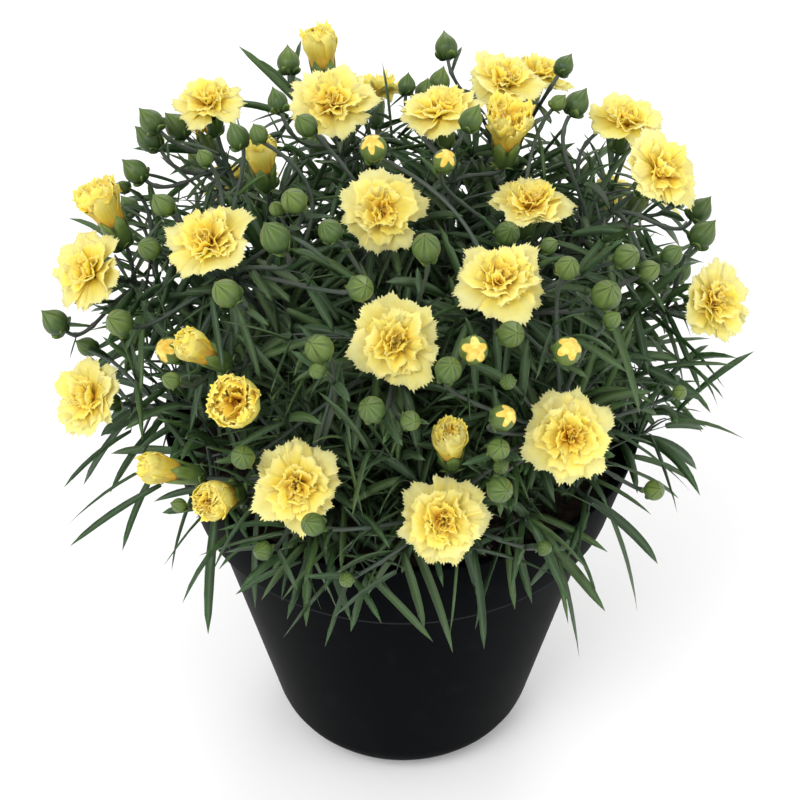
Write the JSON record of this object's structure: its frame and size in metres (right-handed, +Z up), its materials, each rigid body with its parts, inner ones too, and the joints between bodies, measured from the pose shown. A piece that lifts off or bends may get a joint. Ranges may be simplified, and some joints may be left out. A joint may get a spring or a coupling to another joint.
{
  "type": "potted dianthus plant",
  "caption": "Potted dwarf carnation with double yellow blooms, closed and opening buds and narrow bluish green leaves, in soil in a round tapered black plastic pot.",
  "frame": {"origin": "middle of the pot's foot, on the surface that the pot stands on", "axes": "+Z up along the pot's axis, -Y towards the front of the plant, +X to the viewer's right"},
  "size_m": [0.357, 0.3308, 0.4041],
  "materials": {
    "pot_plastic": "satin black moulded plastic",
    "soil": "dark peat, rough",
    "leaf_green": "waxy bluish green leaves, stems and calyxes",
    "petal_yellow": "soft pale yellow petals"
  },
  "bodies": {
    "root": {"pot": "pot_plastic", "soil": "soil", "spray_01": "leaf_green", "spray_02": "leaf_green", "spray_03": "leaf_green", "spray_04": "leaf_green", "spray_05": "leaf_green", "spray_06": "leaf_green", "spray_07": "leaf_green", "spray_08": "leaf_green", "spray_09": "leaf_green", "spray_10": "leaf_green", "spray_11": "leaf_green", "spray_12": "leaf_green", "spray_13": "leaf_green", "spray_14": "leaf_green", "spray_15": "leaf_green", "spray_16": "leaf_green", "spray_17": "leaf_green", "spray_18": "leaf_green", "spray_19": "leaf_green", "spray_20": "leaf_green", "spray_21": "leaf_green", "spray_22": "leaf_green", "spray_23": "leaf_green", "bloom_01": "petal_yellow", "bloom_02": "petal_yellow", "bloom_03": "petal_yellow", "bloom_04": "petal_yellow", "bloom_05": "petal_yellow", "bloom_06": "petal_yellow", "bloom_07": "petal_yellow", "bloom_08": "petal_yellow", "bloom_09": "petal_yellow", "bloom_10": "petal_yellow", "bloom_11": "petal_yellow", "bloom_12": "petal_yellow", "bloom_13": "petal_yellow", "bloom_14": "petal_yellow", "bloom_15": "petal_yellow", "bloom_16": "petal_yellow", "bloom_17": "petal_yellow", "bloom_18": "petal_yellow", "bloom_19": "petal_yellow", "bloom_20": "petal_yellow", "bloom_21": "petal_yellow", "bloom_22": "petal_yellow", "bloom_23": "petal_yellow", "opening_01": "petal_yellow", "opening_02": "petal_yellow", "opening_03": "petal_yellow", "opening_04": "petal_yellow", "opening_05": "petal_yellow", "opening_06": "petal_yellow", "opening_07": "petal_yellow", "opening_08": "petal_yellow", "opening_09": "petal_yellow", "opening_10": "petal_yellow"}
  },
  "joints": []
}
